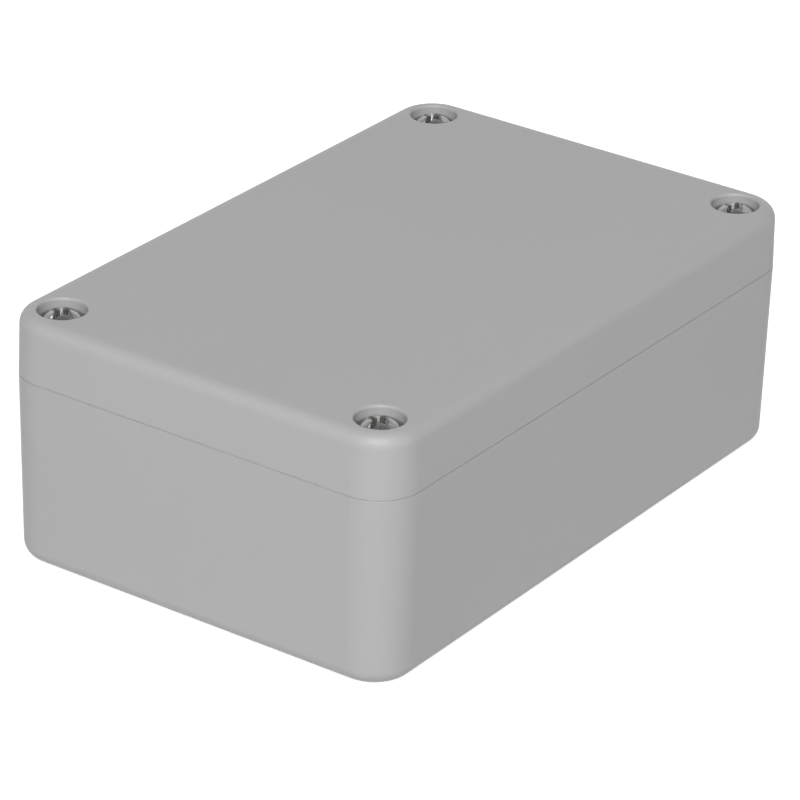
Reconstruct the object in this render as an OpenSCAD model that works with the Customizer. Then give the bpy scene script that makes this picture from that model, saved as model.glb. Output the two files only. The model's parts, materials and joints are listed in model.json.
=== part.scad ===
/* [Outside] */
// Length of the closed box at the parting line, along X
length = 98; // [90:1:140]
// Width of the closed box at the parting line, along Y
width = 64; // [60:1:100]
// Height of the closed box
height = 36.5; // [34:0.5:60]
// Height of the lid above the parting line
lid_height = 9.1; // [8.6:0.1:12]
// Radius of the upright corners at the parting line
corner_radius = 6.3; // [5:0.1:8]
// Draft of the base walls, in degrees
base_draft = 0.9; // [0.5:0.1:1.5]
// Draft of the lid walls, in degrees
lid_draft = 1.3; // [0.5:0.1:2]
// Rounding of the edge around the top
top_fillet = 2; // [1:0.1:2.5]
// Rounding of the edge around the bottom
bottom_fillet = 2.1; // [1:0.1:2.5]
// Chamfer that base and lid have along the parting line
parting_chamfer = 0.12; // [0.05:0.01:0.2]

/* [Walls] */
// Thickness of the side walls at the parting line
wall = 3; // [2.8:0.1:4]
// Thickness of the floor
floor_thickness = 2.5; // [2:0.1:4]
// Thickness of the lid's top
lid_thickness = 2.5; // [2:0.1:3]
// Rounding of the upright corners inside the box
inner_corner = 1; // [0.5:0.1:2]

/* [Seal] */
// Distance from the inner wall face to the tongue on the base
tongue_inset = 0.6; // [0.5:0.1:0.8]
// Width of the tongue
tongue_width = 1; // [0.8:0.1:1.1]
// Height of the tongue above the parting line
tongue_height = 2.2; // [1.5:0.1:2.5]
// Clearance on each side of the tongue in the lid's groove
tongue_clearance = 0.2; // [0.1:0.05:0.3]
// Clearance on each side of the gasket in the lid's groove
gasket_clearance = 0.1; // [0.05:0.05:0.2]
// Height of the pressed gasket above the tongue
gasket_height = 1.4; // [1:0.1:1.6]
// Thickness of the lid's lip inside the groove
lip_width = 1.2; // [1:0.1:1.5]

/* [Lid screws] */
// Distance of each screw from the two walls beside it
screw_inset = 6; // [5.8:0.1:7]
// Diameter of the screw thread
thread_diameter = 4; // [3:0.5:4]
// Pitch of the screw thread
thread_pitch = 0.7; // [0.5:0.1:0.7]
// Turns that free a screw from its insert
screw_turns = 8; // [6:0.5:8]
// Diameter of the screw head
head_diameter = 6.5; // [6:0.1:6.8]
// Height of the screw head, to the crown of its dome
head_height = 3.7; // [3.5:0.1:3.8]
// Height of the head's straight side, below its dome
head_side = 2.5; // [2:0.1:2.8]
// Depth of the crown below the top of the lid
head_depth = 0.3; // [0.1:0.1:0.6]
// Length of the cross in the head, from end to end
cross_span = 5.2; // [4:0.1:5.4]
// Width of the cross's arms at their outer ends
cross_end_width = 0.9; // [0.6:0.1:1.2]
// Width of the cross's arms where they meet
cross_width = 1.45; // [1.3:0.05:1.8]
// Depth of the cross below the crown
cross_depth = 2; // [1.5:0.1:2.2]
// Clearance around the screw head in its recess
head_clearance = 0.15; // [0.1:0.05:0.3]
// Rounding of the rim of each recess
recess_rounding = 0.4; // [0.2:0.1:0.6]
// Thickness of the lid under the screw head
seat_thickness = 2; // [1.5:0.1:2]
// Clearance around the shank where it passes through the lid
shank_clearance = 0.3; // [0.3:0.05:0.5]
// Chamfer at the tip of the screw
tip_chamfer = 0.5; // [0.3:0.1:0.7]
// Radius of the corner posts that hold the inserts
post_radius = 6.3; // [6:0.1:7]

/* [Retaining rings] */
// Outer diameter of the ring
ring_diameter = 6.2; // [5.8:0.1:6.4]
// Thickness of the ring
ring_thickness = 0.8; // [0.6:0.1:0.8]
// Depth of the groove that the ring sits in
ring_groove_depth = 0.4; // [0.3:0.05:0.5]
// Clearance between the ring and its groove
ring_clearance = 0.05; // [0.03:0.01:0.08]
// Angle of the ring's open side, in degrees
ring_opening = 70; // [50:5:90]
// Clearance around the ring in the lid and the post
pocket_clearance = 0.3; // [0.3:0.05:0.4]
// Gap between the ring and the post below it, and the lid above it when raised
ring_stop_gap = 0.1; // [0.05:0.05:0.2]

/* [Threaded inserts] */
// Outer diameter of the insert
insert_diameter = 5.6; // [5.4:0.1:5.8]
// Length of the insert
insert_length = 8; // [6:0.5:10]
// Clearance between the plain screw shank and the insert's bore
thread_clearance = 0.05; // [0.03:0.01:0.1]
// Clearance between the insert and its hole
insert_clearance = 0.02; // [0.01:0.01:0.05]
// Free depth under the screw's tip and the insert
tip_room = 1; // [0.5:0.5:2]

/* [Board bosses] */
// Distance between the bosses along X
boss_pitch_x = 64; // [50:1:65]
// Distance between the bosses along Y
boss_pitch_y = 44; // [30:1:45]
// Diameter of a boss
boss_diameter = 6; // [5:0.5:7]
// Height of a boss above the floor
boss_height = 4; // [3:0.5:6]
// Diameter of the pilot hole in a boss
pilot_diameter = 2.5; // [2:0.1:3]
// Depth of the pilot hole
pilot_depth = 5; // [3:0.5:5]

/* [Hidden] */
$fn = 96;

// How far a cutting shape runs past the face that it cuts, and a joined shape runs into its carrier
past = 1;

// Outside: centres of the upright corners, and the parting plane
corner_x = length / 2 - corner_radius;
corner_y = width / 2 - corner_radius;
parting_z = height - lid_height;

// Places of the four screws, from the near left corner round to the far left one
screw_x = length / 2 - screw_inset;
screw_y = width / 2 - screw_inset;
SCREWS = [[-screw_x, -screw_y], [screw_x, -screw_y], [screw_x, screw_y], [-screw_x, screw_y]];

// Inside: wall faces, and the faces of the posts that look into the box
inner_x = length / 2 - wall;
inner_y = width / 2 - wall;
post_x = screw_x - post_radius;
post_y = screw_y - post_radius;

// Bosses for the circuit board, in the same order as the screws
BOSSES = [for (place = SCREWS) [sign(place.x) * boss_pitch_x / 2, sign(place.y) * boss_pitch_y / 2]];
boss_z = floor_thickness + boss_height;

// Seal: edges of the tongue and the groove, measured out from the inner wall face
tongue_outer = tongue_inset + tongue_width;
groove_inner = tongue_inset - tongue_clearance;
groove_outer = tongue_outer + tongue_clearance;
gasket_z = parting_z + tongue_height;
groove_top = gasket_z + gasket_height;

// Screw axis, from the top down: seat of the head, foot of the lid's screw seat, ring, insert, tip
travel = screw_turns * thread_pitch;
seat_z = height - head_depth - head_height;
seat_foot_z = seat_z - seat_thickness;
ring_z = seat_foot_z - ring_stop_gap - travel - ring_thickness;
insert_z = ring_z - ring_stop_gap;
insert_foot_z = insert_z - insert_length;
tip_z = insert_z - travel;
hole_foot_z = min(insert_foot_z, tip_z) - tip_room;

thread_radius = thread_diameter / 2;
head_radius = head_diameter / 2;
dome_rise = head_height - head_side;
dome_radius = (head_radius * head_radius + dome_rise * dome_rise) / (2 * dome_rise);
crown_z = seat_z + head_height;
recess_radius = head_radius + head_clearance;
pocket_radius = ring_diameter / 2 + pocket_clearance;
ring_groove_radius = thread_radius - ring_groove_depth;

// Side view of one rounded, drafted edge: u runs out from the corner's centre, z up to the parting plane
module edge_profile(tall, draft, fillet) {
    foot = corner_radius - tall * tan(draft);
    centre = foot + fillet * tan(draft) - fillet / cos(draft);
    polygon([
        [0, 0],
        [centre, 0],
        [centre, fillet],
        [centre + fillet * cos(draft), fillet - fillet * sin(draft)],
        [corner_radius - parting_chamfer * tan(draft), tall - parting_chamfer],
        [corner_radius - parting_chamfer, tall],
        [0, tall],
    ]);
    intersection() {
        translate([centre, fillet]) circle(r = fillet);
        translate([centre, 0]) square(fillet);
    }
}

// Block with drafted walls, rounded corners and a rounded edge at z = 0; its wide end is at z = tall
module drafted_block(tall, draft, fillet) {
    for (turn = [0:90:270]) {
        out = turn % 180 == 0 ? corner_x : corner_y;
        along = turn % 180 == 0 ? corner_y : corner_x;
        rotate(turn) translate([out, along, 0]) {
            rotate_extrude(angle = 90) edge_profile(tall, draft, fillet);
            rotate([90, 0, 0]) linear_extrude(2 * along) edge_profile(tall, draft, fillet);
        }
    }
    translate([-corner_x, -corner_y, 0]) cube([2 * corner_x, 2 * corner_y, tall]);
}

module rounded_rectangle(half_x, half_y, radius) {
    square([2 * half_x, 2 * (half_y - radius)], center = true);
    square([2 * (half_x - radius), 2 * half_y], center = true);
    for (x = [-1, 1], y = [-1, 1]) {
        translate([x * (half_x - radius), y * (half_y - radius)]) circle(r = radius);
    }
}

// Plan of the space inside the walls and the corner posts, grown outwards by a distance
module inner_plan(grow) {
    rounded_rectangle(post_x + grow, inner_y + grow, inner_corner + grow);
    rounded_rectangle(inner_x + grow, post_y + grow, inner_corner + grow);
    for (place = SCREWS) {
        difference() {
            translate([sign(place.x) * (post_x + screw_x) / 2, sign(place.y) * (post_y + screw_y) / 2])
                square(post_radius, center = true);
            translate(place) circle(r = post_radius - grow);
        }
    }
}

module inner_space(grow, bottom, top) {
    translate([0, 0, bottom]) linear_extrude(top - bottom) inner_plan(grow);
}

// Closed band that follows the seal, between two distances from the inner wall face
module seal_band(inner, outer, bottom, top) {
    translate([0, 0, bottom]) linear_extrude(top - bottom) difference() {
        inner_plan(outer);
        inner_plan(inner);
    }
}

module rod(radius, bottom, top) {
    translate([0, 0, bottom]) cylinder(r = radius, h = top - bottom);
}

module post_holes() {
    rod(pocket_radius, insert_z, parting_z + past);
    rod(insert_diameter / 2 + insert_clearance, insert_foot_z, insert_z + past);
    rod(thread_radius + shank_clearance, hole_foot_z, insert_z);
}

module base() {
    color("lightgray") difference() {
        union() {
            difference() {
                drafted_block(parting_z, base_draft, bottom_fillet);
                inner_space(0, floor_thickness, parting_z + past);
            }
            seal_band(tongue_inset, tongue_outer, parting_z - past, gasket_z);
            for (place = BOSSES) {
                translate(place) rod(boss_diameter / 2, floor_thickness - past, boss_z);
            }
        }
        for (place = SCREWS) {
            translate(place) post_holes();
        }
        for (place = BOSSES) {
            translate(place) rod(pilot_diameter / 2, boss_z - pilot_depth, boss_z + past);
        }
    }
}

// Rounded rim that opens a screw recess towards the top of the lid
module recess_rim() {
    rotate_extrude() difference() {
        translate([0, height - recess_rounding]) square([recess_radius + recess_rounding, recess_rounding + past]);
        translate([recess_radius + recess_rounding, height - recess_rounding]) circle(r = recess_rounding);
    }
}

module lid_screw_holes() {
    rod(recess_radius, seat_z, height + past);
    recess_rim();
    rod(thread_radius + shank_clearance, seat_foot_z - past, seat_z + past);
    rod(pocket_radius, parting_z - past, seat_foot_z);
}

module lid() {
    color("lightgray") difference() {
        translate([0, 0, height]) mirror([0, 0, 1]) drafted_block(lid_height, lid_draft, top_fillet);
        inner_space(groove_inner - lip_width, parting_z - past, height - lid_thickness);
        seal_band(groove_inner, groove_outer, parting_z - past, groove_top);
        for (place = SCREWS) {
            translate(place) lid_screw_holes();
        }
    }
}

module gasket() {
    color("dimgray")
        seal_band(groove_inner + gasket_clearance, groove_outer - gasket_clearance, gasket_z, groove_top);
}

// Plan of the driver's cross, whose arms narrow outwards
module driver_cross() {
    polygon([for (turn = [0:90:270], corner = [[1, -1], [1, 1], [0, 0]])
        let (
            out = corner.x == 1 ? cross_span / 2 : cross_width / 2,
            side = corner.x == 1 ? corner.y * cross_end_width / 2 : cross_width / 2
        )
        [out * cos(turn) - side * sin(turn), out * sin(turn) + side * cos(turn)]
    ]);
}

module lid_screw(place) {
    groove_z = ring_z - ring_clearance;
    groove_top_z = ring_z + ring_thickness + ring_clearance;
    color("silver") translate(place) difference() {
        rotate_extrude() {
            polygon([
                [0, tip_z],
                [thread_radius - tip_chamfer, tip_z],
                [thread_radius, tip_z + tip_chamfer],
                [thread_radius, groove_z],
                [ring_groove_radius, groove_z],
                [ring_groove_radius, groove_top_z],
                [thread_radius, groove_top_z],
                [thread_radius, seat_z],
                [head_radius, seat_z],
                [head_radius, seat_z + head_side],
                [0, seat_z + head_side],
            ]);
            intersection() {
                translate([0, crown_z - dome_radius]) circle(r = dome_radius);
                translate([0, seat_z + head_side]) square([dome_radius, dome_rise]);
            }
        }
        translate([0, 0, crown_z - cross_depth]) linear_extrude(cross_depth + past) driver_cross();
    }
}

module retaining_ring(place) {
    color("gray") translate([place.x, place.y, ring_z]) rotate(ring_opening / 2)
        rotate_extrude(angle = 360 - ring_opening)
            translate([ring_groove_radius + ring_clearance, 0])
                square([ring_diameter / 2 - ring_groove_radius - ring_clearance, ring_thickness]);
}

module threaded_insert(place) {
    color("goldenrod") translate(place) difference() {
        rod(insert_diameter / 2, insert_foot_z, insert_z);
        rod(thread_radius + thread_clearance, insert_foot_z - past, insert_z + past);
    }
}

base();
lid();
gasket();
for (i = [0:3]) {
    lid_screw(SCREWS[i]);
    retaining_ring(SCREWS[i]);
    threaded_insert(SCREWS[i]);
}
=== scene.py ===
import bmesh
import bpy
import json
import math
from mathutils import Matrix, Vector

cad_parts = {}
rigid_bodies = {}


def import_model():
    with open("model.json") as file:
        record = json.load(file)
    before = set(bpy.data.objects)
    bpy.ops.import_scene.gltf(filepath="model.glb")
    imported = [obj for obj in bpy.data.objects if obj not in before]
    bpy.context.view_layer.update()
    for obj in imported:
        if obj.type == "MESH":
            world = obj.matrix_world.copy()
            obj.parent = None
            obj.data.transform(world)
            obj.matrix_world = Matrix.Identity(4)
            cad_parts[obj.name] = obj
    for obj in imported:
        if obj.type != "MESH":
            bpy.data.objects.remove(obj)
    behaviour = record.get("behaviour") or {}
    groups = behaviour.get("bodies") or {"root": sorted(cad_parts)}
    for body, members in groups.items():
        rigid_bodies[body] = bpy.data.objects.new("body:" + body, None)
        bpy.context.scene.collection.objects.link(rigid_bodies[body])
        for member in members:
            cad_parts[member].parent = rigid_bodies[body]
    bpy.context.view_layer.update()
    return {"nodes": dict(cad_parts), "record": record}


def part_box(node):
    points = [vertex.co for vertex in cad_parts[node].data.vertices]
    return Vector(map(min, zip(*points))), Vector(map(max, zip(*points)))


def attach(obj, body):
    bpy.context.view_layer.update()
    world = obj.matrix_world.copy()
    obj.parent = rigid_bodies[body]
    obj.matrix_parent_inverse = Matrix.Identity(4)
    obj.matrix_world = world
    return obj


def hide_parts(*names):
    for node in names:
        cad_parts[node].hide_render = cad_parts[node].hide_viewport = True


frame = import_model()
nodes = frame["nodes"]
joints = {joint["name"]: joint for joint in frame["record"]["behaviour"]["joints"]}
corners = (1, 2, 3, 4)  # the lid's corners, from the near left one round to the far left one
bpy.ops.object.select_all(action="DESELECT")
print("frame loaded:", len(nodes), "nodes")


def newMaterial(name):
    material = bpy.data.materials.new(name)
    material.use_nodes = True
    tree = material.node_tree
    tree.nodes.clear()
    shader = addNode(tree, "ShaderNodeBsdfPrincipled")
    output = addNode(tree, "ShaderNodeOutputMaterial")
    tree.links.new(shader.outputs["BSDF"], output.inputs["Surface"])
    coords = addNode(tree, "ShaderNodeTexCoord").outputs["Object"]
    return material, tree, shader, coords


def addNode(tree, kind, **settings):
    node = tree.nodes.new(kind)
    for key, value in settings.items():
        setattr(node, key, value)
    return node


def noiseAt(tree, coords, scale, detail=2.0, roughness=0.5):
    noise = addNode(tree, "ShaderNodeTexNoise")
    noise.inputs["Scale"].default_value = scale
    noise.inputs["Detail"].default_value = detail
    noise.inputs["Roughness"].default_value = roughness
    tree.links.new(coords, noise.inputs["Vector"])
    return noise.outputs["Fac"]


def mapRange(tree, value, low, high, toLow, toHigh):
    node = addNode(tree, "ShaderNodeMapRange")
    node.inputs["From Min"].default_value = low
    node.inputs["From Max"].default_value = high
    node.inputs["To Min"].default_value = toLow
    node.inputs["To Max"].default_value = toHigh
    tree.links.new(value, node.inputs["Value"])
    return node.outputs["Result"]


def blendColours(tree, factor, first, second):
    mix = addNode(tree, "ShaderNodeMix", data_type="RGBA")
    mix.inputs[6].default_value = (*first, 1)
    mix.inputs[7].default_value = (*second, 1)
    tree.links.new(factor, mix.inputs[0])
    return mix.outputs[2]


def addBump(tree, shader, height, depth, strength=1.0):
    bump = addNode(tree, "ShaderNodeBump")
    bump.inputs["Strength"].default_value = strength
    bump.inputs["Distance"].default_value = depth
    tree.links.new(height, bump.inputs["Height"])
    tree.links.new(bump.outputs["Normal"], shader.inputs["Normal"])


plastic = {
    "colour": (0.408, 0.408, 0.408),
    "cloudColour": (0.402, 0.402, 0.403),
    "cloudScale": 30.0,
    "grainScale": 3600.0,
    "grainDepth": 0.000010,
    "roughness": (0.42, 0.50),
    "specular": 0.42,
    "seamColour": (0.360, 0.360, 0.360),  # painted shade: the edges of base and lid are darkened along the parting line, standing in for the shade in its groove
    "seamReach": (0.00011, 0.00016),
}


def paintedSeamShadeMask(tree, coords):
    # painted shade mask: 1 close to the parting line on faces that aren't level, otherwise 0
    height = addNode(tree, "ShaderNodeSeparateXYZ")
    tree.links.new(coords, height.inputs[0])
    gap = addNode(tree, "ShaderNodeMath", operation="SUBTRACT")
    gap.inputs[1].default_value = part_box("lid")[0].z
    tree.links.new(height.outputs["Z"], gap.inputs[0])
    facing = addNode(tree, "ShaderNodeSeparateXYZ")
    tree.links.new(addNode(tree, "ShaderNodeNewGeometry").outputs["True Normal"], facing.inputs[0])
    mask = addNode(tree, "ShaderNodeMath", operation="MULTIPLY")
    for place, value, (low, high) in ((0, gap.outputs[0], plastic["seamReach"]),
                                      (1, facing.outputs["Z"], (0.85, 0.95))):
        size = addNode(tree, "ShaderNodeMath", operation="ABSOLUTE")
        tree.links.new(value, size.inputs[0])
        tree.links.new(mapRange(tree, size.outputs[0], low, high, 1.0, 0.0), mask.inputs[place])
    return mask.outputs[0]


def makePlastic():
    # light grey moulding with a fine spark-eroded grain, and a faint drift of colour over the panels
    material, tree, shader, coords = newMaterial("matteGreyPlastic")
    cloud = mapRange(tree, noiseAt(tree, coords, plastic["cloudScale"], 1.0), 0.3, 0.7, 0.0, 1.0)
    panels = blendColours(tree, cloud, plastic["colour"], plastic["cloudColour"])
    # painted shade along the parting line, over the panels' colour
    total = blendColours(tree, paintedSeamShadeMask(tree, coords), plastic["colour"], plastic["seamColour"])
    tree.links.new(panels, total.node.inputs[6])
    tree.links.new(total, shader.inputs["Base Color"])
    grain = noiseAt(tree, coords, plastic["grainScale"], 2.0, 0.6)
    tree.links.new(mapRange(tree, grain, 0.3, 0.7, *plastic["roughness"]), shader.inputs["Roughness"])
    addBump(tree, shader, grain, plastic["grainDepth"], 0.35)
    shader.inputs["Specular IOR Level"].default_value = plastic["specular"]
    return material


metals = {
    "brightPlatedSteel": {"colour": (0.46, 0.46, 0.455), "stain": (0.28, 0.28, 0.275),
                          "roughness": (0.11, 0.24), "stainScale": 1400.0, "scratchDepth": 0.000002},
    "darkSpringSteel": {"colour": (0.22, 0.22, 0.23), "stain": (0.12, 0.12, 0.13),
                        "roughness": (0.32, 0.48), "stainScale": 900.0, "scratchDepth": 0.000004},
    "turnedBrass": {"colour": (0.72, 0.52, 0.20), "stain": (0.58, 0.40, 0.14),
                    "roughness": (0.22, 0.38), "stainScale": 700.0, "scratchDepth": 0.000004},
}


def makeMetal(name):
    # a metal with faint stains, and with fine tool marks that run round its upright axis
    values = metals[name]
    material, tree, shader, coords = newMaterial(name)
    stain = noiseAt(tree, coords, values["stainScale"], 4.0)
    tree.links.new(blendColours(tree, stain, values["colour"], values["stain"]), shader.inputs["Base Color"])
    tree.links.new(mapRange(tree, stain, 0.3, 0.7, *values["roughness"]), shader.inputs["Roughness"])
    squeeze = addNode(tree, "ShaderNodeMapping")
    squeeze.inputs["Scale"].default_value = (0.08, 0.08, 1.0)
    tree.links.new(coords, squeeze.inputs["Vector"])
    marks = noiseAt(tree, squeeze.outputs["Vector"], 16000.0, 2.0)
    addBump(tree, shader, marks, values["scratchDepth"], 0.5)
    shader.inputs["Metallic"].default_value = 1.0
    return material


rubber = {"colour": (0.018, 0.018, 0.019), "poreColour": (0.045, 0.045, 0.047), "poreScale": 5200.0,
          "poreDepth": 0.00004, "roughness": 0.85}


def makeRubber():
    material, tree, shader, coords = newMaterial("foamRubber")
    pores = noiseAt(tree, coords, rubber["poreScale"], 2.0)
    tree.links.new(blendColours(tree, pores, rubber["colour"], rubber["poreColour"]),
                   shader.inputs["Base Color"])
    addBump(tree, shader, pores, rubber["poreDepth"])
    shader.inputs["Roughness"].default_value = rubber["roughness"]
    return material


greyPlastic = makePlastic()
brightSteel = makeMetal("brightPlatedSteel")
springSteel = makeMetal("darkSpringSteel")
turnedBrass = makeMetal("turnedBrass")
foamRubber = makeRubber()


def paint(piece, material):
    piece.data.materials.clear()
    piece.data.materials.append(material)


for name in ("base", "lid"):
    paint(nodes[name], greyPlastic)
print("materials made")


sliver = 0.000004  # points closer than this are merged after a cut


def onlySelect(piece):
    bpy.ops.object.select_all(action="DESELECT")
    piece.select_set(True)
    bpy.context.view_layer.objects.active = piece


def editing(on):
    bpy.ops.object.mode_set(mode="EDIT" if on else "OBJECT")


def settle(piece, name):
    # puts a piece's place in its mesh, so that its object sits at the origin
    onlySelect(piece)
    bpy.ops.object.transform_apply(location=True, rotation=True, scale=True)
    piece.name = name
    piece.data.name = name
    return piece


def selectWhere(kind, test):
    # selects the vertices or faces of the mesh in edit mode whose place and normal pass a test
    bpy.ops.mesh.select_all(action="DESELECT")
    mesh = bmesh.from_edit_mesh(bpy.context.object.data)
    for vertex in mesh.verts if kind == "VERT" else []:
        if test(vertex.co, vertex.normal):
            vertex.select_set(True)
    for face in mesh.faces if kind == "FACE" else []:
        if test(face.calc_center_median(), face.normal):
            face.select_set(True)
    mesh.select_flush(True)
    bmesh.update_edit_mesh(bpy.context.object.data)


def drawUp(height):
    bpy.ops.mesh.extrude_region_move(TRANSFORM_OT_translate={"value": (0, 0, height)})


def turnUp(name, axis, outline, segments):
    # a disc at the foot, drawn up ring by ring through the (radius, height) points of a turned outline
    bpy.ops.object.select_all(action="DESELECT")
    bpy.ops.mesh.primitive_circle_add(vertices=segments, radius=outline[0][0], fill_type="NGON",
                                      location=(axis.x, axis.y, outline[0][1]))
    piece = bpy.context.object
    editing(True)
    bpy.ops.mesh.select_all(action="SELECT")
    for (radius, height), (nextRadius, nextHeight) in zip(outline, outline[1:]):
        drawUp(nextHeight - height)
        scale = nextRadius / radius
        bpy.ops.transform.resize(value=(scale, scale, 1), center_override=(axis.x, axis.y, nextHeight))
    bpy.ops.mesh.select_all(action="SELECT")
    bpy.ops.mesh.normals_make_consistent(inside=False)
    editing(False)
    return settle(piece, name)


def cutOrJoin(piece, tool, operation):
    modifier = piece.modifiers.new("combine", "BOOLEAN")
    modifier.operation = operation
    modifier.solver = "EXACT"
    modifier.object = tool
    onlySelect(piece)
    bpy.ops.object.modifier_apply(modifier=modifier.name)
    bpy.data.meshes.remove(tool.data)
    closeSlivers(piece)


def closeSlivers(piece):
    # merges the points that a cut or a bevel leaves almost on top of each other
    onlySelect(piece)
    editing(True)
    bpy.ops.mesh.select_all(action="SELECT")
    bpy.ops.mesh.remove_doubles(threshold=sliver)
    bpy.ops.mesh.dissolve_degenerate(threshold=sliver)
    editing(False)


def softenEdges(piece, width, segments, angle):
    modifier = piece.modifiers.new("soften", "BEVEL")
    modifier.width = width
    modifier.segments = segments
    modifier.limit_method = "ANGLE"
    modifier.angle_limit = math.radians(angle)
    onlySelect(piece)
    bpy.ops.object.modifier_apply(modifier=modifier.name)
    closeSlivers(piece)


def smoothUnder(piece, angle):
    onlySelect(piece)
    bpy.ops.object.shade_smooth_by_angle(angle=math.radians(angle))


def copyTo(piece, name, shift):
    # a copy with its own mesh, moved in the mesh
    onlySelect(piece)
    bpy.ops.object.duplicate(linked=False)
    copy = bpy.context.object
    editing(True)
    bpy.ops.mesh.select_all(action="SELECT")
    bpy.ops.transform.translate(value=shift)
    editing(False)
    copy.name = name
    copy.data.name = name
    return copy


def placeAtCorners(piece, label, node, body, material):
    # names the first piece, copies it to the other three corners, and stands each in for its solid
    paint(piece, material)
    first = axisOf(f"{node}_1")
    for corner in corners:
        twin = piece if corner == 1 else copyTo(piece, f"{label}{corner}", axisOf(f"{node}_{corner}") - first)
        twin.name = f"{label}{corner}"
        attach(twin, f"{body}_{corner}" if body != "base" else body)
        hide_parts(f"{node}_{corner}")


def axisOf(node):
    # where a screw's joint turns, at the foot of the lid corner that a piece belongs to
    corner = node.rsplit("_", 1)[1]
    place = joints[f"screw_{corner}_turn"]["pos_m"]
    return Vector((place[0], place[1], 0.0))


thread = {
    "pitch": 0.0007,
    "phase": 0.0155,  # height of one root of the helix, which the screws and the inserts share
    "steps": 40,
    "rootRadius": 0.00160,
    "crestRadius": 0.00198,
    "rootWidth": 0.76,  # share of the pitch that a ridge covers at its root
    "crestWidth": 0.14,
    "sink": 0.00006,  # how far a ridge reaches into the core that carries it
    "play": 0.00005,  # clearance of the inserts' thread round the screws'
}


def threadRidge(axis, start, turns, play):
    # the ridge of a thread: one point is drawn into a closed outline, which the screw modifier winds up
    pitch = thread["pitch"]
    slope = (thread["rootWidth"] - thread["crestWidth"]) * pitch / 2
    slope /= thread["crestRadius"] - thread["rootRadius"]
    inner = thread["rootRadius"] - thread["sink"]
    crest = thread["crestRadius"] + play
    halfCrest = thread["crestWidth"] * pitch / 2 + play / 2
    halfInner = halfCrest + slope * (crest - inner)
    bpy.ops.object.select_all(action="DESELECT")
    bpy.ops.mesh.primitive_plane_add(size=pitch, location=(axis.x, axis.y, start))
    ridge = bpy.context.object
    editing(True)
    bpy.ops.mesh.select_all(action="SELECT")
    bpy.ops.mesh.merge(type="CENTER")
    bpy.ops.transform.translate(value=(inner, 0, -halfInner))
    for step in ((crest - inner, 0, halfInner - halfCrest), (0, 0, 2 * halfCrest),
                 (inner - crest, 0, halfInner - halfCrest)):
        bpy.ops.mesh.extrude_region_move(TRANSFORM_OT_translate={"value": step})
    bpy.ops.mesh.select_all(action="SELECT")
    mesh = bmesh.from_edit_mesh(ridge.data)
    mesh.verts.ensure_lookup_table()
    ends = [vertex for vertex in mesh.verts if len(vertex.link_edges) == 1]
    bpy.ops.mesh.select_all(action="DESELECT")
    for vertex in ends:
        vertex.select_set(True)
    bmesh.update_edit_mesh(ridge.data)
    bpy.ops.mesh.edge_face_add()
    editing(False)
    winding = ridge.modifiers.new("winding", "SCREW")
    winding.screw_offset = pitch
    winding.iterations = turns
    winding.steps = thread["steps"]
    winding.render_steps = thread["steps"]
    winding.use_merge_vertices = False
    onlySelect(ridge)
    bpy.ops.object.modifier_apply(modifier=winding.name)
    editing(True)
    bpy.ops.mesh.select_all(action="SELECT")
    bpy.ops.mesh.remove_doubles(threshold=1e-7)
    bpy.ops.mesh.select_all(action="DESELECT")
    bpy.ops.mesh.select_non_manifold()
    bpy.ops.mesh.fill_holes(sides=0)
    bpy.ops.mesh.select_all(action="SELECT")
    bpy.ops.mesh.normals_make_consistent(inside=False)
    editing(False)
    return settle(ridge, "ridge")


lidScrew = {
    "segments": 96,
    "tipChamfer": 0.0005,
    "shankRadius": 0.0020,
    "headSide": 0.0025,
    "headHeight": 0.0037,
    "domeRings": 12,
    "crossWidth": 0.00145,
    "crossEndWidth": 0.0009,
    "crossSpan": 0.0052,
    "crossDepth": 0.0020,
    "floorWidth": 0.62,  # widths of the cross at its floor, as a share of those at the crown
    "floorSpan": 0.46,  # span of the cross at its floor, as a share of its span at the crown
    "pitDepth": 0.0005,
    "pitFoot": 0.3,
    "tipRounding": 0.00030,
    "edgeSoftness": 0.00006,
    "smoothAngle": 32,
}


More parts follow.
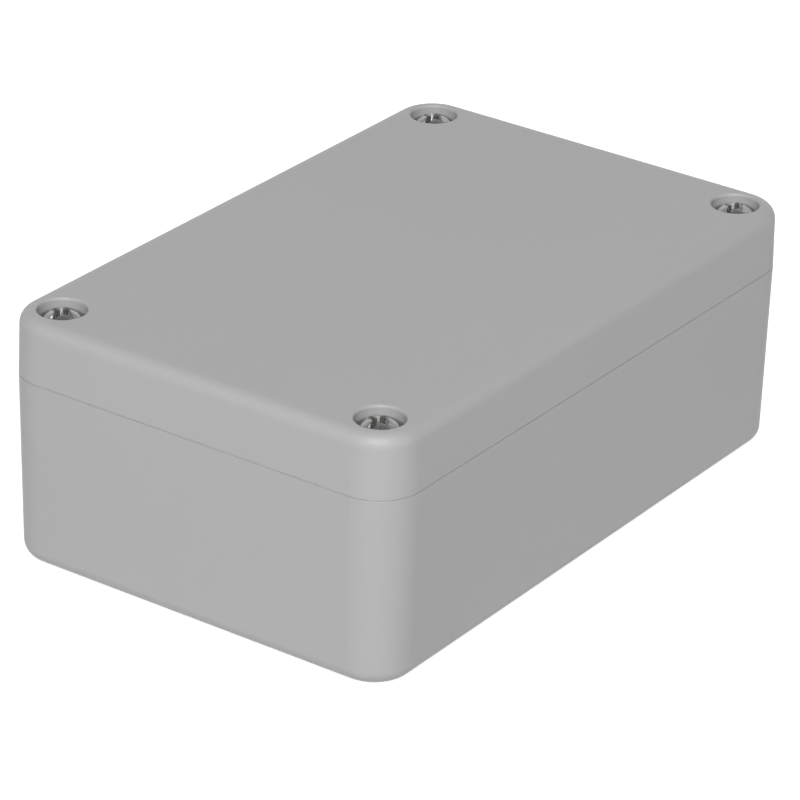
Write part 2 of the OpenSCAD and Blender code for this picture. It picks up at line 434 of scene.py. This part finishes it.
def crossCutter(axis, crown):
    # a driver's cross: a block whose sides are drawn out as four wings, narrower and shorter at the floor
    half = lidScrew["crossWidth"] / 2
    reach = lidScrew["crossSpan"] / 2
    taper = lidScrew["crossEndWidth"] / lidScrew["crossWidth"]
    above = 0.0005
    depth = lidScrew["crossDepth"] + above
    floor = crown - lidScrew["crossDepth"]
    low = floor + depth * 0.1
    bpy.ops.object.select_all(action="DESELECT")
    bpy.ops.mesh.primitive_cube_add(size=1, location=(axis.x, axis.y, floor + depth / 2),
                                    scale=(2 * half, 2 * half, depth))
    cutter = settle(bpy.context.object, "crossCutter")
    sides = (Vector((1, 0, 0)), Vector((0, 1, 0)), Vector((-1, 0, 0)), Vector((0, -1, 0)))
    editing(True)
    for side in sides:
        selectWhere("FACE", lambda middle, normal: (middle - axis).dot(side) > half * 0.9)
        bpy.ops.mesh.extrude_region_move(TRANSFORM_OT_translate={"value": side * (reach - half)})
        narrow = (1, taper, 1) if side.x else (taper, 1, 1)
        bpy.ops.transform.resize(value=narrow, center_override=axis + side * reach)
    shrink = lidScrew["floorWidth"]  # the floor is drawn in all round, and then at the ends of the wings
    selectWhere("VERT", lambda place, normal: place.z < low)
    bpy.ops.transform.resize(value=(shrink, shrink, 1), center_override=(axis.x, axis.y, floor))
    for side in sides:
        selectWhere("VERT", lambda place, normal: place.z < low
                    and (place - axis).dot(side) > reach * shrink * 0.9)
        bpy.ops.transform.translate(value=side * -reach * (shrink - lidScrew["floorSpan"]))
    selectWhere("FACE", lambda middle, normal: middle.z < low and (middle - axis).xy.length < half * 0.3)
    drawUp(-lidScrew["pitDepth"])  # the middle of the floor runs down into a pit
    foot = lidScrew["pitFoot"]
    bpy.ops.transform.resize(value=(foot, foot, 1), center_override=(axis.x, axis.y, floor))
    bpy.ops.mesh.select_all(action="SELECT")
    bpy.ops.mesh.normals_make_consistent(inside=False)
    bpy.ops.mesh.select_all(action="DESELECT")
    mesh = bmesh.from_edit_mesh(cutter.data)
    for edge in mesh.edges:  # the upright edges between the wings, which leave rounded tips on the head
        middle = (edge.verts[0].co + edge.verts[1].co) / 2 - axis
        tall = abs(edge.verts[0].co.z - edge.verts[1].co.z) > depth * 0.5
        if tall and max(abs(middle.x), abs(middle.y)) < half:
            edge.select_set(True)
    bmesh.update_edit_mesh(cutter.data)
    bpy.ops.mesh.bevel(offset=lidScrew["tipRounding"], segments=4, affect="EDGES")
    editing(False)
    return cutter


def makeLidScrews():
    axis = axisOf("lid_screw_1")
    low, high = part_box("lid_screw_1")
    ringLow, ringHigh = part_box("retaining_ring_1")
    seat = joints["screw_1_turn"]["pos_m"][2]
    ringPlay = 0.00005
    grooveFoot, grooveTop = ringLow.z - ringPlay, ringHigh.z + ringPlay
    root, shank = thread["rootRadius"], lidScrew["shankRadius"]
    head = (high.x - low.x) / 2
    crown = seat + lidScrew["headHeight"]
    rise = lidScrew["headHeight"] - lidScrew["headSide"]
    dome = (head * head + rise * rise) / (2 * rise)
    chamfer = lidScrew["tipChamfer"]
    outline = [(shank - chamfer - 0.0001, low.z), (root, low.z + chamfer), (root, grooveFoot),
               (root, grooveTop), (shank, grooveTop), (shank, seat), (head, seat)]
    wide = math.acos(1 - rise / dome)
    for step in range(lidScrew["domeRings"]):
        angle = wide * (1 - step / lidScrew["domeRings"])
        outline.append((dome * math.sin(angle), crown - dome * (1 - math.cos(angle))))
    screw = turnUp("lidScrew1", axis, outline, lidScrew["segments"])
    cutOrJoin(screw, crossCutter(axis, crown), "DIFFERENCE")
    softenEdges(screw, lidScrew["edgeSoftness"], 2, 30)
    ridge = threadRidge(axis, thread["phase"] + 3 * thread["pitch"], 11, 0.0)
    lead = 0.00005  # the ridge starts this far above the tip
    sleeve = turnUp("sleeve", axis, [(shank - chamfer + lead, low.z + lead), (shank + lead, low.z + chamfer + lead),
                                     (shank + lead, grooveFoot - lead)], 50)
    cutOrJoin(ridge, sleeve, "INTERSECT")
    cutOrJoin(screw, ridge, "UNION")
    smoothUnder(screw, lidScrew["smoothAngle"])
    placeAtCorners(screw, "lidScrew", "lid_screw", "screw", brightSteel)
    print("lid screws made:", len(screw.data.polygons), "faces each")


makeLidScrews()


retainingRing = {
    "segments": 72,
    "opening": 35,  # degrees from the middle of the open side to the end of each arm
    "bandRadius": 0.0023,
    "lugRadius": 0.00165,
    "armLugs": 60,  # the lugs at the arms' ends reach back to this angle
    "backLug": 165,  # and the lug at the back starts at this one
    "edgeSoftness": 0.00006,
}


def angleRound(place, axis):
    return math.degrees(math.atan2(place.y - axis.y, place.x - axis.x))


def makeRetainingRings():
    # a flat band whose open side is cut out and whose three lugs are drawn in, then given its thickness
    axis = axisOf("retaining_ring_1")
    low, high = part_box("retaining_ring_1")
    outer = (high.y - low.y) / 2
    band, lug = retainingRing["bandRadius"], retainingRing["lugRadius"]
    bpy.ops.object.select_all(action="DESELECT")
    bpy.ops.mesh.primitive_circle_add(vertices=retainingRing["segments"], radius=outer,
                                      location=(axis.x, axis.y, low.z))
    ring = settle(bpy.context.object, "retainingRing1")
    middle = (axis.x, axis.y, low.z)
    editing(True)
    bpy.ops.mesh.select_all(action="SELECT")
    bpy.ops.mesh.extrude_region_move()
    bpy.ops.transform.resize(value=(band / outer, band / outer, 1), center_override=middle)
    selectWhere("FACE", lambda place, normal: abs(angleRound(place, axis)) < retainingRing["opening"])
    bpy.ops.mesh.delete(type="FACE")
    slack = 1.0  # degrees, less than a segment
    for least, most in ((0, retainingRing["armLugs"]), (retainingRing["backLug"], 180)):
        for upper in (True, False) if least == 0 else (True,):
            selectWhere("VERT", lambda place, normal: (place - axis).xy.length < (band + outer) / 2
                        and least - slack < abs(angleRound(place, axis)) < most + slack
                        and (least > 0 or (place.y > axis.y) == upper))
            bpy.ops.mesh.extrude_region_move()
            bpy.ops.transform.resize(value=(lug / band, lug / band, 1), center_override=middle)
    bpy.ops.mesh.select_all(action="SELECT")
    drawUp(high.z - low.z)
    bpy.ops.mesh.select_all(action="SELECT")
    bpy.ops.mesh.normals_make_consistent(inside=False)
    editing(False)
    softenEdges(ring, retainingRing["edgeSoftness"], 2, 40)
    smoothUnder(ring, 30)
    placeAtCorners(ring, "retainingRing", "retaining_ring", "ring", springSteel)
    print("retaining rings made:", len(ring.data.polygons), "faces each")


makeRetainingRings()


threadedInsert = {
    "segments": 48,
    "leadRadius": 0.00235,
    "waistRadius": 0.00245,
    "bands": ((0.0010, 0.0036), (0.0046, 0.0072)),  # heights of the two knurled bands above the foot
    "knurlStep": 0.00037,
    "knurlDepth": 0.00020,
    "flange": 0.00035,
    "boreRadius": 0.00167,
    "mouthRadius": 0.00215,
    "edgeSoftness": 0.00004,
}


def makeThreadedInserts():
    # a turned body with two knurled bands, bored out and tapped with the screws' own thread
    axis = axisOf("threaded_insert_1")
    low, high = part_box("threaded_insert_1")
    outer = (high.x - low.x) / 2
    waist = threadedInsert["waistRadius"]
    step = threadedInsert["knurlStep"]
    outline = [(threadedInsert["leadRadius"], low.z), (waist, low.z + step)]
    for foot, top in threadedInsert["bands"]:
        count = round((top - foot) / step)
        rows = [low.z + foot + (top - foot) * row / count for row in range(count + 1)]
        outline += [(waist, rows[0] - step / 3)] + [(outer, row) for row in rows]
        outline += [(waist, rows[-1] + step / 3)]
    outline += [(waist, high.z - threadedInsert["flange"] - step / 3),
                (outer, high.z - threadedInsert["flange"]), (outer, high.z)]
    insert = turnUp("threadedInsert1", axis, outline, threadedInsert["segments"])
    rowOf = {round(height, 7): row for row, (radius, height) in enumerate(outline)}
    flangeFoot = high.z - threadedInsert["flange"] - step / 6

    def isPit(place, normal):
        column = round(angleRound(place, axis) * threadedInsert["segments"] / 360)
        row = rowOf.get(round(place.z, 7), 0)
        return (place - axis).xy.length > outer * 0.99 and place.z < flangeFoot and (column + row) % 2 == 0

    editing(True)
    selectWhere("VERT", isPit)
    inward = 1 - threadedInsert["knurlDepth"] / outer
    bpy.ops.transform.resize(value=(inward, inward, 1), center_override=(axis.x, axis.y, low.z))
    editing(False)
    bore, mouth = threadedInsert["boreRadius"], threadedInsert["mouthRadius"]
    flare = mouth - bore
    drill = turnUp("drill", axis, [(mouth + flare, low.z - flare), (bore, low.z + flare),
                                   (bore, high.z - flare), (mouth + flare, high.z + flare)], 48)
    cutOrJoin(insert, drill, "DIFFERENCE")
    turns = math.ceil((high.z - thread["phase"]) / thread["pitch"]) + 1
    cutOrJoin(insert, threadRidge(axis, thread["phase"], turns, thread["play"]), "DIFFERENCE")
    smoothUnder(insert, 25)
    placeAtCorners(insert, "threadedInsert", "threaded_insert", "base", turnedBrass)
    print("threaded inserts made:", len(insert.data.polygons), "faces each")


makeThreadedInserts()


gasketStrip = {"edgeRounding": 0.00035, "segments": 4}


def makeGasket():
    # the pressed strip with its long edges rounded, from a merged copy of its plain solid
    onlySelect(nodes["gasket"])
    bpy.ops.object.duplicate(linked=False)
    strip = bpy.context.object
    for key in list(strip.keys()):
        del strip[key]
    bpy.ops.object.parent_clear(type="CLEAR_KEEP_TRANSFORM")
    editing(True)
    bpy.ops.mesh.select_all(action="SELECT")
    bpy.ops.mesh.remove_doubles(threshold=1e-6)
    bpy.ops.mesh.dissolve_limited(angle_limit=math.radians(0.5))
    editing(False)
    settle(strip, "gasketStrip")
    modifier = strip.modifiers.new("soften", "BEVEL")
    modifier.width = gasketStrip["edgeRounding"]
    modifier.segments = gasketStrip["segments"]
    modifier.limit_method = "ANGLE"
    modifier.angle_limit = math.radians(60)
    modifier.use_clamp_overlap = False
    bpy.ops.object.modifier_apply(modifier=modifier.name)
    smoothUnder(strip, 40)
    paint(strip, foamRubber)
    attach(strip, "lid")
    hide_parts("gasket")
    print("gasket made:", len(strip.data.polygons), "faces")


makeGasket()


stage = {
    "floorSize": 3.0,
    "floorColour": 0.60,
    "floorGlow": 0.80,  # adds to the floor's own light where the camera or a mirror sees it, up to white
    "worldStrength": 0.17,
    "ceilingLevel": 0.3,  # light of the sky straight overhead, where its sides are 1
    "ceilingReach": (0.4, 0.9),
    "softboxPlace": (-0.95, -0.59, 1.00),
    "softboxSize": 0.9,
    "softboxPower": 24.2,
    "fillPlace": (0.93, 0.61, 0.08),
    "fillSize": 1.0,
    "fillPower": 8.0,
    "aim": (0.004256, 0.003755, 0.011420),
    "azimuth": -55.288,
    "elevation": 26.272,
    "roll": 1.614,
    "distance": 0.62568,
    "lens": 200.2725,
    "sensor": 36.0,
}


def seenDirectly(tree):
    # 1 for the camera's rays and for what mirrors and glass show of the background, otherwise 0
    rays = addNode(tree, "ShaderNodeLightPath")
    value = rays.outputs["Is Camera Ray"]
    for output in ("Is Glossy Ray", "Is Transmission Ray"):
        either = addNode(tree, "ShaderNodeMath", operation="MAXIMUM")
        tree.links.new(value, either.inputs[0])
        tree.links.new(rays.outputs[output], either.inputs[1])
        value = either.outputs[0]
    return value


def makeFloor():
    bpy.ops.object.select_all(action="DESELECT")
    bpy.ops.mesh.primitive_plane_add(size=stage["floorSize"], location=(0, 0, 0))
    floor = bpy.context.object
    floor.name = "floor"
    material = bpy.data.materials.new("paleFloor")
    material.use_nodes = True
    tree = material.node_tree
    tree.nodes.clear()
    output = addNode(tree, "ShaderNodeOutputMaterial")
    card = addNode(tree, "ShaderNodeBsdfDiffuse")
    card.inputs["Color"].default_value = (*[stage["floorColour"]] * 3, 1)
    glow = addNode(tree, "ShaderNodeEmission")
    tree.links.new(mapRange(tree, seenDirectly(tree), 0.0, 1.0, 0.0, stage["floorGlow"]),
                   glow.inputs["Strength"])
    total = addNode(tree, "ShaderNodeAddShader")
    tree.links.new(card.outputs["BSDF"], total.inputs[0])
    tree.links.new(glow.outputs["Emission"], total.inputs[1])
    tree.links.new(total.outputs["Shader"], output.inputs["Surface"])
    floor.data.materials.append(material)


def makeWorld():
    world = bpy.data.worlds.new("studio")
    bpy.context.scene.world = world
    world.use_nodes = True
    tree = world.node_tree
    tree.nodes.clear()
    output = addNode(tree, "ShaderNodeOutputWorld")
    sky = addNode(tree, "ShaderNodeBackground")
    height = addNode(tree, "ShaderNodeSeparateXYZ")
    tree.links.new(addNode(tree, "ShaderNodeTexCoord").outputs["Generated"], height.inputs[0])
    level = mapRange(tree, height.outputs["Z"], *stage["ceilingReach"], 1.0, stage["ceilingLevel"])
    strength = addNode(tree, "ShaderNodeMath", operation="MULTIPLY")
    tree.links.new(mapRange(tree, seenDirectly(tree), 0.0, 1.0, stage["worldStrength"], 1.0),
                   strength.inputs[0])
    tree.links.new(level, strength.inputs[1])
    tree.links.new(strength.outputs[0], sky.inputs["Strength"])
    tree.links.new(sky.outputs["Background"], output.inputs["Surface"])
    sky.inputs["Color"].default_value = (1, 1, 1, 1)


def makeLamp(name):
    data = bpy.data.lights.new(name, "AREA")
    data.shape = "SQUARE"
    data.size = stage[f"{name}Size"]
    data.energy = stage[f"{name}Power"]
    lamp = bpy.data.objects.new(name, data)
    bpy.context.scene.collection.objects.link(lamp)
    lamp.location = stage[f"{name}Place"]
    lamp.rotation_euler = (-lamp.location).to_track_quat("-Z", "Y").to_euler()
    return lamp


def makeCamera():
    azimuth, elevation, roll = (math.radians(stage[key]) for key in ("azimuth", "elevation", "roll"))
    back = Vector((math.sin(azimuth) * math.cos(elevation), -math.cos(azimuth) * math.cos(elevation),
                   math.sin(elevation)))
    level = Vector((math.cos(azimuth), math.sin(azimuth), 0))
    upright = back.cross(level)
    right = math.cos(roll) * level + math.sin(roll) * upright
    up = math.cos(roll) * upright - math.sin(roll) * level
    data = bpy.data.cameras.new("camera")
    data.sensor_width = stage["sensor"]
    data.lens = stage["lens"]
    data.clip_start = 0.01
    camera = bpy.data.objects.new("camera", data)
    bpy.context.scene.collection.objects.link(camera)
    turn = Matrix((right, up, back)).transposed().to_4x4()
    camera.matrix_world = Matrix.Translation(Vector(stage["aim"]) + back * stage["distance"]) @ turn
    bpy.context.scene.camera = camera


makeFloor()
makeWorld()
makeLamp("softbox")
makeLamp("fill").visible_glossy = False  # lifts the far sides without a glare on the lid
makeCamera()
bpy.context.scene.view_settings.view_transform = "Standard"
print("stage set")
